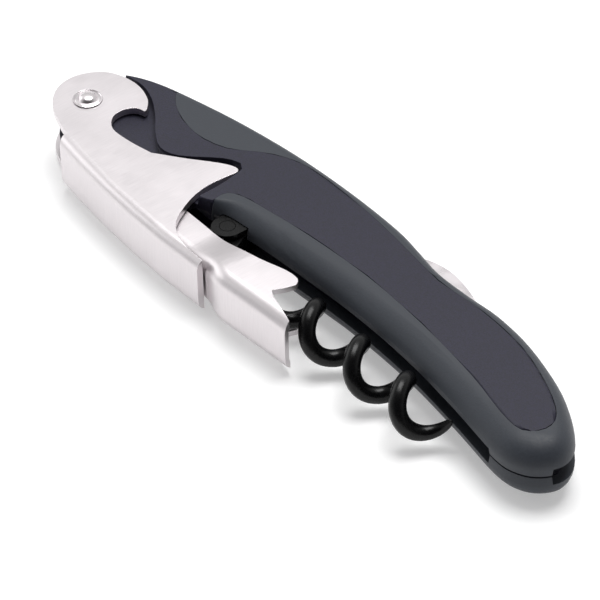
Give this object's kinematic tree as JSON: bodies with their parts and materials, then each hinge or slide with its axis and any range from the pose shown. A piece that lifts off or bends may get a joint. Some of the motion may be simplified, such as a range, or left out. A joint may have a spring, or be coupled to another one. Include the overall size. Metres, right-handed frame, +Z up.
{
  "type": "waiters corkscrew",
  "caption": "Double-lever waiter's corkscrew with a curved grip, fold-out worm and foil knife, closed and lying on its side.",
  "frame": {"origin": "middle of the part's box, on the surface it lies on", "axes": "+X along the handle from the lever's rivet to the tail, +Y from the lever's side to the knife's side, +Z up from the side it lies on; every hinge turns about Z"},
  "size_m": [0.1196, 0.0328, 0.0118],
  "materials": {
    "brushed_steel": "brushed",
    "polished_steel": "polished",
    "spring_steel": "satin",
    "hard_plastic": "fine matte texture",
    "soft_grip": "soft touch",
    "brass": "turned",
    "black_coating": "satin non-stick coating"
  },
  "bodies": {
    "handle": {"upper_worm_yoke": "black_coating", "lower_worm_yoke": "black_coating", "upper_shell": "hard_plastic", "lower_shell": "hard_plastic", "upper_grip": "soft_grip", "lower_grip": "soft_grip", "head_spacer": "brushed_steel", "pivot_bush": "brass", "worm_pin": "spring_steel", "knife_pin": "spring_steel", "knife_spring": "spring_steel", "head_shell_screw": "polished_steel", "middle_shell_screw": "polished_steel", "tail_shell_screw": "polished_steel", "tail_spacer_tube": "brushed_steel", "upper_knife_washer": "brass", "lower_knife_washer": "brass"},
    "first_lever_body": {"first_lever": "brushed_steel", "main_rivet": "polished_steel", "lever_hinge_pin": "spring_steel", "lever_spring": "spring_steel"},
    "second_lever_body": {"second_lever": "brushed_steel"},
    "worm_body": {"worm": "black_coating", "worm_knuckle": "black_coating"},
    "knife_body": {"knife_blade": "polished_steel"}
  },
  "joints": [
    {"name": "first_lever_swing", "type": "hinge", "parent": "handle", "child": "first_lever_body", "pos_m": [-0.05321, -0.00478, 0.0059], "axis": [0, 0, -1], "range_deg": [0, 180]},
    {"name": "second_lever_fold", "type": "hinge", "parent": "first_lever_body", "child": "second_lever_body", "pos_m": [-0.02571, -0.01098, 0.0059], "axis": [0, 0, 1], "range_deg": [0, 60]},
    {"name": "worm_swing", "type": "hinge", "parent": "handle", "child": "worm_body", "pos_m": [-0.01441, -0.00558, 0.0059], "axis": [0, 0, -1], "range_deg": [0, 90]},
    {"name": "knife_swing", "type": "hinge", "parent": "handle", "child": "knife_body", "pos_m": [0.04779, 0.00182, 0.0059], "axis": [0, 0, -1], "range_deg": [0, 150]}
  ],
  "couplings": [
    {"joint": "worm_swing", "follows": "first_lever_swing", "ratio": 0.5},
    {"joint": "second_lever_fold", "follows": "first_lever_swing", "ratio": 0.33333}
  ]
}
